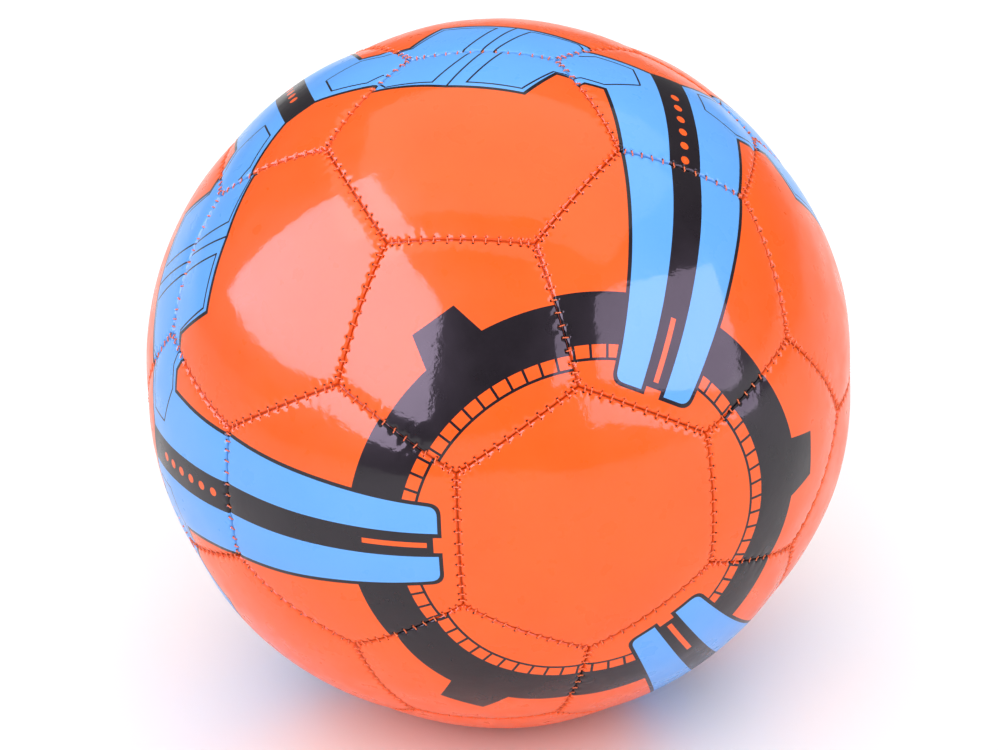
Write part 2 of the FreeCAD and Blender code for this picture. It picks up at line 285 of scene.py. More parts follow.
class Panel:
    """One panel: its kind, its own axes, its corners in order and its seams."""

    def __init__(self, kind, members, outline, number):
        self.kind = kind
        self.members = members
        self.axis = unit(sum(members))
        self.x = unit(outline[0] - self.axis * (outline[0] @ self.axis))
        self.y = np.cross(self.axis, self.x)
        outline = sorted(outline, key=lambda p: math.atan2(p @ self.y, p @ self.x) % math.tau)
        self.outline = np.array(outline)
        self.seams = []
        for start, end in zip(outline, outline[1:] + outline[:1]):
            seam = seam_between(start, end)
            inward = 1 if self.axis @ seam.across > 0 else -1
            self.seams.append((seam, inward))
        self.node = max(PANEL_NODES[kind], key=lambda name: self.axis @ PANEL_NODES[kind][name])
        self.side = 1 if self.axis @ FRONT > 0 else -1
        self.random = np.random.default_rng([SEED, 1000 + number])
        shift = self.random.uniform(-PRINT_SHIFT_LIMIT, PRINT_SHIFT_LIMIT, 3)
        shift = np.array(PRINT_SHIFTS.get(self.node, shift))
        self.print_shift = np.array([shift @ self.x, shift @ self.y])
        self.creases = [self.make_creases(seam) for seam, _ in self.seams]

    def make_creases(self, seam):
        """Short creases that run in from a seam: place, length, height, width and slant."""
        creases = []
        for _ in range(self.random.integers(*CREASES_PER_SEAM)):
            place = self.random.uniform(-CREASE_SPREAD, CREASE_SPREAD) * seam.reach * EDGE_RADIUS
            measures = CREASE_LENGTH, CREASE_HEIGHT, CREASE_WIDTH, CREASE_SLANT
            creases.append((place, *(self.random.uniform(*limits) for limits in measures)))
        return creases

    def flat(self, ball):
        """Where directions cross the plane that touches the crown: seams are straight lines there."""
        return np.stack([ball @ self.x, ball @ self.y], 1) / (ball @ self.axis)[:, None] * CROWN

    def round(self, flat):
        """The directions of flat points."""
        return unit_rows(self.axis * CROWN + flat[:, 0:1] * self.x + flat[:, 1:2] * self.y)

    def dome(self, ball, thickness=0.0):
        """The height of the plain dome in each direction, from the centre of the ball."""
        cosine = ball @ self.axis
        radius = DOME_RADIUS[self.kind]
        offset = CROWN - radius
        return offset * cosine + np.sqrt((radius - thickness) ** 2 - offset ** 2 * (1 - cosine ** 2))

    def height(self, ball):
        """The height of the finished surface: dome, rolled edges, stitch holes, creases and waves."""
        drops = np.zeros(len(ball))
        details = ripple(ball) + self.valve_lip(ball)
        for (seam, inward), creases in zip(self.seams, self.creases):
            along, depth = seam.coordinates(ball)
            depth = np.maximum(depth * inward - SEAM_GAP, 0)
            near = np.flatnonzero(depth < SEAM_REACH)
            along, depth = along[near], depth[near]
            pull = np.cos(math.tau * seam.stitch_phase(along))
            bend = 1 - np.clip(depth / (ROLL_WIDTH * (1 + PULL_ON_ROLL * pull)), 0, 1)
            drops[near] += (ROLL_DEPTH * (1 - np.sqrt(1 - bend ** 2))) ** 3
            tug = TUG_DEPTH * pull * np.exp(-((depth - TUG_PLACE) / TUG_WIDTH) ** 2)
            shoulder = 1 + PULL_ON_SHOULDER * pull
            tug += SHOULDER_DEPTH * shoulder * np.exp(-depth / SHOULDER_WIDTH)
            away = np.abs(along[:, None] - seam.stitches).min(1)
            radius = seam.hole_radius[inward]
            hole = HOLE_DEPTH * np.exp(-(away ** 2 + (depth - HOLE_DISTANCE) ** 2) / radius ** 2)
            details[near] -= tug + hole
            for place, length, high, wide, slant in creases:
                side = (along - place - slant * depth) / wide
                fade = np.clip(depth / CREASE_START, 0, 1) * np.clip(1 - depth / length, 0, 1)
                details[near] += high * CREASE_PROFILE * side * np.exp(-side ** 2) * fade
        return self.dome(ball) - np.minimum(np.cbrt(drops), CORNER_DEPTH * ROLL_DEPTH) + details

    def painted_groove_shade(self, ball):
        """Painted shade in a seam's groove for each direction: 1 at the seam, 0 away from it."""
        shade = np.zeros(len(ball))
        for seam, inward in self.seams:
            depth = np.maximum(seam.coordinates(ball)[1] * inward - SEAM_GAP, 0)
            shade = np.maximum(shade, np.exp(-(depth / PAINTED_GROOVE_SHADE_WIDTH) ** 2))
        return shade

    def valve_lip(self, ball):
        """The rounded edge of the valve hole and the dip round it, on the one panel that has them."""
        if self.node != VALVE_PANEL:
            return np.zeros(len(ball))
        far = np.hypot(*self.flat(ball).T)
        bend = np.clip(1 - (far - VALVE_HOLE_RADIUS) / VALVE_LIP_WIDTH, 0, 1)
        dip = VALVE_DIP_DEPTH * np.exp(-(far / VALVE_DIP_WIDTH) ** 2)
        return -VALVE_LIP_DEPTH * (1 - np.sqrt(1 - bend ** 2)) - dip

    def surface(self, ball):
        """Points and normals of the finished surface, in mm."""
        high = self.height(ball)
        side = unit_rows(np.cross(ball, self.x + 0.3 * self.axis))
        other = np.cross(ball, side)
        slope_side = (self.height(unit_rows(ball + side * SLOPE_STEP)) - high) / SLOPE_STEP
        slope_other = (self.height(unit_rows(ball + other * SLOPE_STEP)) - high) / SLOPE_STEP
        normals = high[:, None] * ball - slope_side[:, None] * side - slope_other[:, None] * other
        return ball * high[:, None], unit_rows(normals)


def dome_height(kind, angle):
    """The height of a panel's plain dome at an angle, in radians, from its middle."""
    radius = DOME_RADIUS[kind]
    offset = CROWN - radius
    return offset * math.cos(angle) + math.sqrt(radius ** 2 - (offset * math.sin(angle)) ** 2)


EDGE_RADIUS = dome_height("hexagon", math.radians(HEXAGON_REACH))


def make_waves():
    """Plane waves in seeded directions: each one's turns per mm, phase and height."""
    random = np.random.default_rng([SEED, 2])
    waves = []
    for length in np.geomspace(*WAVE_LENGTHS, WAVE_COUNT):
        turns = unit(random.normal(size=3)) * math.tau / length
        waves.append((turns, random.uniform(0, math.tau), WAVE_HEIGHT * length))
    return waves


WAVES = make_waves()


def ripple(ball):
    """The height of all the waves together in each direction."""
    total = np.zeros(len(ball))
    for turns, phase, high in WAVES:
        total += high * np.sin(ball @ turns * CROWN + phase)
    return total


def make_panels():
    panels = []
    for a in CORNERS:
        outline = [unit(a * 2 + b) for b in CORNERS if are_neighbours(a, b)]
        panels.append(Panel("pentagon", [a], outline, len(panels)))
    for trio in combinations(CORNERS, 3):
        if all(are_neighbours(a, b) for a, b in combinations(trio, 2)):
            outline = [unit(a * 2 + b) for a in trio for b in trio if a is not b]
            panels.append(Panel("hexagon", list(trio), outline, len(panels)))
    return panels


# ---------- drawing the print

# The emblem's ring, by distances from its middle in degrees: a black ring with three teeth and a
# circle of small squares. A tooth is given by distance and half width.
RING_OUTER, RING_INNER = 37.9, 29.8
SQUARES_END, CIRCLE_LINE_INNER = 27.8, 27.35
SQUARES = 66
TICK_WIDTH = 0.45
TICK_OVERLAP = 0.1
TOOTH = [(36.5, 5.78), (43.2, 4.25)]
EMBLEM_TURNS = (0, 120, 240)
OUTLINE_WIDTH = 0.63
THIN_LINE_WIDTH = 0.32

# The double band, by distances from the middle of the emblem in degrees.
BAND_START = 22.95
BAND_CORNERS_END = 28
BAND_END = 66.0
BAND_STEPS = 12
BAND_CORNER, STRIPE_CORNER = 1.9, 1.5
STRIP_INNER_HALF_WIDTH = 2.0
NOTCH_START, NOTCH_END, NOTCH_HALF_WIDTH = BAND_START - 0.6, 24.3, 1.3
SLOT_START, SLOT_END, SLOT_HALF_WIDTH = 25.3, 35.6, 0.43

# The belt, in degrees round the middle of a pentagon, and round the middle of the seam between two
# hexagons. Only half of the pentagon's outline is given.
BELT_PENTAGON = [(0.0, 20.0), (11.0, 20.0), (12.7, 1.7), (15.5, 0.65), (20.0, 2.4), (20.0, -15.1),
                 (11.9, -11.4), (2.75, -7.2), (0.0, -7.2)]
BELT_PENTAGON_STRIP_HALF_WIDTHS = (2.2, 2.3)
BELT_PENTAGON_LINES = ([(6.0, -1.35), (12.3, 0.25), (15.85, -1.25), (19.5, -0.7)],
                       [(6.0, -1.35), (6.0, -6.6), (11.5, -9.4), (14.5, -8.9)])
DOT_RADIUS = 0.75
DOT_PLACES = (14.0, 11.0, 8.0, 5.0, 2.1, -0.7)
BELT_HEXAGON = [(-19.0, -2.0), (-19.0, 5.0), (-12.2, 5.0), (-7.9, 12.6), (4.7, 11.5), (15.9, 8.9),
                (20.0, 7.95), (20.0, -2.0)]
BELT_HEXAGON_LINES = ([(-17.0, 4.0), (-11.6, 4.2), (-7.25, 11.0), (1.5, 10.2), (-3.4, -0.9)],
                      [(4.7, 11.3), (-0.35, -0.85)],
                      [(1.6, -0.75), (7.0, 9.6), (14.9, 8.2), (19.5, 1.5)])

# Degrees from the middle of an emblem to the panels' middles, and from there to a panel's corners.
MIDDLE_PANEL_WITHIN = 10
RING_PANELS_WITHIN = 60
PANEL_REACH = 27


def rotated(points, degrees):
    c, s = math.cos(math.radians(degrees)), math.sin(math.radians(degrees))
    return np.asarray(points, float) @ np.array([[c, s], [-s, c]])


def mirrored(points):
    """The same polygon on the other side of the y axis, as (x, y) to (-x, y)."""
    return np.asarray(points, float)[::-1] * [-1, 1]


def sides_of(points, closed):
    """The way that each point moves for one unit to the left of the line, corners mitred."""
    following = np.roll(points, -1, 0) - points
    if not closed:
        following[-1] = following[-2]
    following = unit_rows(following)
    normals = np.stack([-following[:, 1], following[:, 0]], 1)
    before = np.roll(normals, 1, 0)
    if not closed:
        before[0] = normals[0]
    return (normals + before) / (1 + (normals * before).sum(1))[:, None]


def inset(polygon, distance):
    """A polygon whose sides lie that far inside the given one's."""
    polygon = np.asarray(polygon, float)
    turned = np.cross(polygon, np.roll(polygon, -1, 0)).sum() < 0
    return polygon + sides_of(polygon, True) * (-distance if turned else distance)


def line(points, width):
    points = np.asarray(points, float)
    shift = sides_of(points, False) * width / 2
    return np.concatenate([points + shift, (points - shift)[::-1]])


def disc(radius, y=0.0, steps=None):
    angles = np.linspace(0, math.tau, steps or max(16, int(radius * 9)), endpoint=False)
    return np.stack([radius * np.cos(angles), y + radius * np.sin(angles)], 1)


def box(x0, x1, half_width):
    """A rectangle that lies along the x axis."""
    return np.array([(x0, -half_width), (x1, -half_width), (x1, half_width), (x0, half_width)], float)


def rounded(corner, before, after, radius, steps=7):
    """Points of a curve that cuts a corner, from the side of before to the side of after."""
    corner = np.asarray(corner, float)
    start = corner + unit(np.asarray(before) - corner) * radius
    end = corner + unit(np.asarray(after) - corner) * radius
    share = np.linspace(0, 1, steps)[:, None]
    return list((1 - share) ** 2 * start + 2 * share * (1 - share) * corner + share ** 2 * end)


def band_half_width(distance):
    """7.2 degrees at 25 degrees from the middle of the emblem, and more further out."""
    return 7.2 + 0.111 * (distance - 25)


def strip_half_width(distance):
    """2 degrees near the inner end of the band, and a little more further out."""
    return 2.0 + 0.0185 * (distance - 24.5)


def both_sides(half):
    """A whole outline from its half on the positive side of the x axis."""
    return half + [(x, -y) for x, y in reversed(half)]


def ring_print(chart):
    shapes = [(BLACK, chart, disc(RING_OUTER))]
    shapes += [(BLACK, chart, rotated(both_sides(TOOTH), turn)) for turn in EMBLEM_TURNS]
    shapes.append((ORANGE, chart, disc(RING_INNER)))
    tick = box(SQUARES_END - TICK_OVERLAP, RING_INNER + TICK_OVERLAP, TICK_WIDTH / 2)
    for number in range(SQUARES):
        shapes.append((BLACK, chart, rotated(tick, (number + 0.5) * 360 / SQUARES)))
    shapes.append((BLACK, chart, disc(SQUARES_END)))
    shapes.append((ORANGE, chart, disc(CIRCLE_LINE_INNER)))
    return shapes


def band_print(chart):
    """Two blue stripes with a black strip and its outline between them, rounded at the inner end."""
    far = np.linspace(BAND_CORNERS_END, BAND_END, BAND_STEPS)
    edge = [(r, band_half_width(r)) for r in far]
    corner = rounded((BAND_START, band_half_width(BAND_START)), (BAND_START, 0), edge[0], BAND_CORNER)
    outer = [(BAND_START, 0.0)] + both_sides(corner + edge)
    start = BAND_START + OUTLINE_WIDTH
    edge = [(r, band_half_width(r) - OUTLINE_WIDTH) for r in far]
    inner_corner = (start, band_half_width(start) - OUTLINE_WIDTH)
    corner = rounded(inner_corner, (start, 0), edge[0], STRIPE_CORNER)
    strip = [(r, strip_half_width(r)) for r in reversed(far)] + [(start, STRIP_INNER_HALF_WIDTH)]
    stripe = np.array(corner + edge + strip)
    return [
        (BLACK, chart, np.array(outer)),
        (BLUE, chart, stripe),
        (BLUE, chart, stripe * [1, -1]),
        (ORANGE, chart, box(NOTCH_START, NOTCH_END, NOTCH_HALF_WIDTH)),
        (ORANGE, chart, box(SLOT_START, SLOT_END, SLOT_HALF_WIDTH)),
    ]


def belt_pentagon_print(chart):
    """The band goes on, opens out to both sides and ends in a point below a row of dots."""
    half = BELT_PENTAGON
    shapes = [(BLACK, chart, np.array(half + [(-x, y) for x, y in reversed(half[1:-1])]))]
    top, bottom = BELT_PENTAGON_STRIP_HALF_WIDTHS
    stripe = inset([(top, 20.0)] + half[1:-2] + [(bottom, -7.0)], OUTLINE_WIDTH)
    shapes += [(BLUE, chart, stripe), (BLUE, chart, mirrored(stripe))]
    for points in BELT_PENTAGON_LINES:
        part = line(points, THIN_LINE_WIDTH)
        shapes += [(BLACK, chart, part), (BLACK, chart, mirrored(part))]
    shapes += [(ORANGE, chart, disc(DOT_RADIUS, y)) for y in DOT_PLACES]
    return shapes


def belt_hexagon_print(chart):
    """The belt between two pentagons: blue up to a stepped outline, with thin lines inside."""
    shapes = [(BLACK, chart, np.array(BELT_HEXAGON)),
              (BLUE, chart, inset(BELT_HEXAGON, OUTLINE_WIDTH))]
    shapes += [(BLACK, chart, line(points, THIN_LINE_WIDTH)) for points in BELT_HEXAGON_LINES]
    return shapes


def print_of(panel):
    """The printed shapes of a panel, the later ones over the earlier, each in its own chart."""
    side = panel.side
    far = math.degrees(math.acos(np.clip(panel.axis @ FRONT * side, -1, 1)))
    emblem = RoundChart(FRONT * side, RIGHT * side, UP * side)
    if far < MIDDLE_PANEL_WITHIN:
        return []
    if panel.kind == "pentagon" and far < RING_PANELS_WITHIN:
        return ring_print(emblem)
    if panel.kind == "hexagon" and far < RING_PANELS_WITHIN:
        return ring_print(emblem) + band_print(BandChart(FRONT * side, panel.axis))
    if panel.kind == "pentagon":
        x = np.cross(FRONT * side, panel.axis) * side
        return belt_pentagon_print(RoundChart(panel.axis, x, FRONT * side))
    belt = [c for c in panel.members if abs(c[1]) < 0.5]
    own, other = sorted(belt, key=lambda c: -(c @ FRONT) * side)
    return belt_hexagon_print(RoundChart(own + other, other - own, panel.axis))


def close_to(panel, chart, polygon):
    return (chart.to_ball(polygon) @ panel.axis).max() > math.cos(math.radians(PANEL_REACH))


# ---------- panel meshes

# The mesh of a skin, in mm: rows of points by depth from the seam and spacing, and a lattice inside.
ROWS = [(0.12, 0.45), (0.3, 0.45), (0.5, 0.45), (0.75, 0.45), (1.05, 0.45), (1.4, 0.5), (1.8, 0.6),
        (2.4, 0.7), (3.1, 0.9), (4.0, 1.2), (5.2, 1.6)]
BORDER_SPACING = 0.5
LATTICE_START, LATTICE = 6.5, 2.2
INNER_LATTICE_START, INNER_LATTICE = 6, 5.0
PRINT_STEP = 0.6                # degrees between the points of a printed outline
PRINT_IN_VIEW = 0.7             # the cosine within which a printed outline is drawn on a panel
HOLE_STEPS = 8                  # the sides of a stitch hole
HOLE_SURROUND = 1.9             # a second ring of points round a stitch hole, in hole radii
VALVE_HOLE_STEPS = 72
VALVE_RINGS = (0.0, 0.12, 0.3, 0.6, 1.2)
VALVE_ROOM = 1.5                # no lattice points come this near to the valve hole
HOLE_MARGIN = 0.05
JOIN_DISTANCE = 1e-5
SHORTEST_PIECE = 1e-6
PARALLEL = 1e-12

# A length near a seam is longer on a panel's flat chart: near its rows of points, and at its border.
ROW_STRETCH = 1 / math.cos(math.radians(20.9)) ** 2
BORDER_STRETCH = 1.15


def split_sides(polygon, step, least=1, rounding=math.ceil):
    """The corners of a polygon with points between them, a step apart or a little less."""
    pieces = []
    for start, end in zip(polygon, np.roll(polygon, -1, 0)):
        count = max(least, rounding(np.linalg.norm(end - start) / step))
        share = np.linspace(0, 1, count, endpoint=False)[:, None]
        pieces.append(start + (end - start) * share)
    return np.concatenate(pieces)


def inside(points, polygon):
    """Which points lie inside a polygon, by counting the sides above each."""
    within = np.zeros(len(points), bool)
    low, high = polygon.min(0), polygon.max(0)
    near = np.flatnonzero(((points >= low) & (points <= high)).all(1))
    x, y = points[near, 0], points[near, 1]
    odd = np.zeros(len(near), bool)
    for (x0, y0), (x1, y1) in zip(polygon, np.roll(polygon, -1, 0)):
        if y0 != y1:
            crosses = (y0 > y) != (y1 > y)
            odd ^= crosses & (x < (x1 - x0) * (y - y0) / (y1 - y0) + x0)
    within[near] = odd
    return within


def shrunk(corners, distance):
    """A regular outline whose sides lie that much nearer to its middle."""
    middles = (corners + np.roll(corners, -1, 0)) / 2
    reach = np.linalg.norm(middles, axis=1).mean()
    return corners * (1 - distance / reach)


def lattice(corners, spacing):
    """Points in even triangles inside an outline."""
    reach = np.abs(corners).max()
    rows = np.arange(-reach, reach, spacing * math.sqrt(3) / 2)
    columns = np.arange(-reach, reach, spacing)
    points = [(x + spacing / 2 * (number % 2), y) for number, y in enumerate(rows) for x in columns]
    points = np.array(points)
    return points[inside(points, corners)]


def clipped(starts, ends, corners):
    """The parts of segments that lie inside an anticlockwise outline."""
    first, last = np.zeros(len(starts)), np.ones(len(starts))
    way = ends - starts
    for a, b in zip(corners, np.roll(corners, -1, 0)):
        normal = np.array([a[1] - b[1], b[0] - a[0]])
        room, gain = (starts - a) @ normal, way @ normal
        with np.errstate(divide="ignore", invalid="ignore"):
            cross = -room / gain
        first = np.where(gain > PARALLEL, np.maximum(first, cross), first)
        last = np.where(gain < -PARALLEL, np.minimum(last, cross), last)
        last = np.where((np.abs(gain) <= PARALLEL) & (room < 0), -1, last)
    kept = last - first > SHORTEST_PIECE
    starts, way, first, last = starts[kept], way[kept], first[kept, None], last[kept, None]
    return starts + way * first, starts + way * last


def triangulate(panel, points, border, rings=(0.0,), starts=(), ends=()):
    """The flat points and triangles inside a border, with sides that follow the given segments.

    The valve's panel has its hole cut out, with rings of points at distances from the hole's edge."""
    loops = [border]
    if panel.node == VALVE_PANEL:
        loops += [disc(VALVE_HOLE_RADIUS + ring, steps=VALVE_HOLE_STEPS) for ring in rings]
        points = points[np.hypot(*points.T) > VALVE_HOLE_RADIUS + VALVE_ROOM]
    vertices = list(map(tuple, points))
    edges = []
    for loop in loops:
        first = len(vertices)
        vertices += list(map(tuple, loop))
        edges += [(first + i, first + (i + 1) % len(loop)) for i in range(len(loop))]
    for start, end in zip(starts, ends):
        edges.append((len(vertices), len(vertices) + 1))
        vertices += [tuple(start), tuple(end)]
    made = delaunay_2d_cdt([Vector(v) for v in vertices], edges, [], 1, JOIN_DISTANCE)
    flat, triangles = np.array(made[0], float), np.array(made[2], int)
    if panel.node == VALVE_PANEL:
        middles = flat[triangles].mean(1)
        triangles = triangles[np.hypot(*middles.T) > VALVE_HOLE_RADIUS - HOLE_MARGIN]
    used, triangles = np.unique(triangles, return_inverse=True)
    return flat[used], triangles.reshape(-1, 3)


def border_loop(triangles):
    """The vertices round the outside of a triangulation, in order, and of any hole after it."""
    sides = {(a, b) for t in triangles.tolist() for a, b in zip(t, t[1:] + t[:1])}
    following = {a: b for a, b in sides if (b, a) not in sides}
    loops = []
    while following:
        loop = [next(iter(following))]
        while loop[-1] in following:
            loop.append(following.pop(loop[-1]))
        loops.append(loop[:-1])
    return sorted(loops, key=len, reverse=True)


def stitch_holes(panel):
    """The middles of a panel's stitch holes, as directions, and their radii in mm."""
    holes, radii = [], []
    for seam, inward in panel.seams:
        across = np.full(len(seam.stitches), inward * (HOLE_DISTANCE + SEAM_GAP))
        holes.append(seam.to_ball(seam.stitches, across))
        radii += [seam.hole_radius[inward]] * len(across)
    return np.concatenate(holes), np.array(radii)


def paint(panel, ball):
    """Each direction's ink: the last printed shape that it lies in, with painted hole shade over all.
    """
    moved = panel.round(panel.flat(ball) - panel.print_shift)
    inks_and_hole_shade = np.full(len(ball), ORANGE)
    for ink, chart, polygon in panel.shapes:
        inks_and_hole_shade[inside(chart.from_ball(moved), polygon)] = ink
    for hole, radius in zip(*stitch_holes(panel)):
        inks_and_hole_shade[ball @ hole > math.cos(radius / EDGE_RADIUS)] = PAINTED_HOLE_SHADE
    return inks_and_hole_shade


def print_edges(panel):
    """The starts and ends, on the panel's flat chart, of the short pieces of all printed outlines."""
    starts, ends = [], []
    for _, chart, polygon in panel.shapes:
        ball = chart.to_ball(split_sides(polygon, PRINT_STEP))
        seen = ball @ panel.axis > PRINT_IN_VIEW
        both = seen & np.roll(seen, -1)
        flat = panel.flat(ball) + panel.print_shift
        starts.append(flat[both])
        ends.append(np.roll(flat, -1, 0)[both])
    return starts, ends


def outer_skin(panel, corners):
    """The printed outer face of a panel: its flat points and its triangles."""
    points = [lattice(shrunk(corners, LATTICE_START * ROW_STRETCH), LATTICE)]
    for depth, spacing in ROWS:
        points.append(split_sides(shrunk(corners, depth * ROW_STRETCH), spacing, 2, round))
    holes, radii = stitch_holes(panel)
    holes = panel.flat(holes)
    points.append(holes)
    starts, ends = print_edges(panel)
    for hole, radius in zip(holes, radii):
        points.append(hole + disc(radius * HOLE_SURROUND, steps=HOLE_STEPS))
        ring = hole + disc(radius, steps=HOLE_STEPS) * (CROWN / EDGE_RADIUS)
        starts.append(ring)
        ends.append(np.roll(ring, -1, 0))
    starts, ends = clipped(np.concatenate(starts), np.concatenate(ends), corners)
    border = split_sides(corners, BORDER_SPACING, 2, round)
    return triangulate(panel, np.concatenate(points), border, VALVE_RINGS, starts, ends)


def nearest(loop, places, targets):
    """For each target, the vertex of a loop that lies nearest to it."""
    return [loop[int(np.argmin(((places[loop] - t) ** 2).sum(1)))] for t in targets]


def faces_between(upper, lower):
    """Four-sided faces from a closed loop of vertices down to another of as many."""
    pairs = list(zip(upper, lower))
    return [[b[0], a[0], a[1], b[1]] for a, b in zip(pairs, pairs[1:] + pairs[:1])]


def make_panel(panel, materials):
    """A closed skin: printed outer face, flange down into the seam, and the pocket's inner face."""
    panel.shapes = [shape for shape in print_of(panel) if close_to(panel, shape[1], shape[2])]
    corners = shrunk(panel.flat(panel.outline), SEAM_GAP * BORDER_STRETCH)
    flat, triangles = outer_skin(panel, corners)
    ball = panel.round(flat)
    outer, normals = panel.surface(ball)
    rim, *valve = border_loop(triangles)

    side_reach = np.linalg.norm((corners[0] + corners[1]) / 2)
    pocket = flat[rim] * (1 - SKIN_THICKNESS * BORDER_STRETCH / side_reach)
    inner_points = lattice(shrunk(corners, INNER_LATTICE_START), INNER_LATTICE)
    inner_flat, inner_triangles = triangulate(panel, inner_points, pocket)
    inner_ball = panel.round(inner_flat)
    inner = inner_ball * panel.dome(inner_ball, SKIN_THICKNESS)[:, None]
    inner_rim, *inner_valve = border_loop(inner_triangles)
    foot = panel.round(flat[rim]) * FLANGE_END
    inner_foot = panel.round(pocket) * FLANGE_END

    inner_first = len(outer)
    foot_first = inner_first + len(inner)
    inner_foot_first = foot_first + len(foot)
    loops = [
        rim,
        range(foot_first, inner_foot_first),
        range(inner_foot_first, inner_foot_first + len(inner_foot)),
        [inner_first + i for i in nearest(inner_rim, inner_flat, pocket)],
    ]
    faces = triangles.tolist() + (inner_triangles[:, ::-1] + inner_first).tolist()
    for upper, lower in zip(loops, loops[1:]):
        faces += faces_between(upper, lower)
    if valve:
        lower = nearest(inner_valve[0], inner_flat, flat[valve[0]])
        faces += faces_between(valve[0], [inner_first + i for i in lower])

    inks_and_hole_shade = paint(panel, unit_rows(ball[triangles].mean(1)))
    inks_and_hole_shade = np.concatenate([inks_and_hole_shade, np.full(len(faces) - len(inks_and_hole_shade), ORANGE)])
    points = np.concatenate([outer, inner, foot, inner_foot])
    normals = np.concatenate([normals, -inner_ball, -unit_rows(foot), -unit_rows(inner_foot)])
    piece = make_piece(f"{panel.node}_skin", points, faces, materials)
    # The painted groove shade, per point, which darkens the print's colour near the seams.
    shade = piece.data.attributes.new("painted_groove_shade", "FLOAT", "POINT")
    shade.data.foreach_set("value", np.pad(panel.painted_groove_shade(ball), (0, len(points) - len(ball))))
    piece.data.polygons.foreach_set("material_index", inks_and_hole_shade.astype(np.int32))
    piece.data.normals_split_custom_set_from_vertices(normals.tolist())
    return finish_piece(piece, "skin", panel.node)


def make_piece(name, points, faces, materials):
    """A new smooth object in metres, from points in mm."""
    mesh = bpy.data.meshes.new(name)
    mesh.from_pydata((points * MM).tolist(), [], faces)
    for material in materials:
        mesh.materials.append(material)
    mesh.shade_smooth()
    piece = bpy.data.objects.new(name, mesh)
    bpy.context.scene.collection.objects.link(piece)
    return piece


def finish_piece(piece, slot, *nodes):
    """Puts a piece on its body and hides the CAD nodes that it stands for. The slot is not used."""
    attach(piece, BODY)
    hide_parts(*nodes)
    return piece


# ---------- stitches

# A stitch's middle line from hole to hole, in mm: across the seam, and above the edge of the skin.
STITCH_PATH = [(-0.82, -1.2), (-0.76, -0.55), (-0.64, -0.2), (-0.4, -0.2), (-0.14, -0.34),
               (0.14, -0.34), (0.4, -0.2), (0.64, -0.2), (0.76, -0.55), (0.82, -1.2)]
STITCH_SIDES = 8
STITCH_SLANT = 0.25
STITCH_LIFT = (-0.08, 0.06)


def stitch_lines(seam):
    """The middle line of each stitch: out of one hole, over the groove and into the other."""
    lines = []
    across, high = np.array(STITCH_PATH).T
    for place in seam.stitches:
        slant = seam.random.uniform(-STITCH_SLANT, STITCH_SLANT) * across
        lift = seam.random.uniform(*STITCH_LIFT)
        ball = seam.to_ball(place + slant, across)
        lines.append(ball * (EDGE_RADIUS + high + lift)[:, None])
    return lines


def tube(middle_line, radius, first):
    """Points and faces of a closed round tube along a line."""
    ways = unit_rows(np.gradient(middle_line, axis=0))
    side = unit_rows(np.cross(ways, unit_rows(middle_line) + 1e-3 * ways[0]))
    other = np.cross(ways, side)
    angles = np.arange(STITCH_SIDES) * math.tau / STITCH_SIDES
    cosines, sines = np.cos(angles)[:, None], np.sin(angles)[:, None]
    ring = cosines * side[:, None] + sines * other[:, None]
    points = (middle_line[:, None] + ring * radius).reshape(-1, 3)
    ends = range(first, first + len(points) + 1, STITCH_SIDES)
    rings = [range(start, end) for start, end in zip(ends, ends[1:])]
    faces = []
    for ring, following in zip(rings, rings[1:]):
        for j in range(STITCH_SIDES):
            k = (j + 1) % STITCH_SIDES
            faces.append([ring[j], ring[k], following[k], following[j]])
    faces += [list(reversed(rings[0])), list(rings[-1])]
    return points, faces


def make_stitches(kind, node, material):
    """All the stitches of the seams of a kind, as one piece."""
    points, faces, count = [], [], 0
    for seam in SEAMS.values():
        if seam.kind != kind:
            continue
        for middle_line in stitch_lines(seam):
            tube_points, tube_faces = tube(middle_line, STITCH_RADIUS, count)
            points.append(tube_points)
            faces += tube_faces
            count += len(tube_points)
    piece = make_piece(f"{kind}_seam_stitches", np.concatenate(points), faces, [material])
    return finish_piece(piece, "thread", node)


# ---------- materials

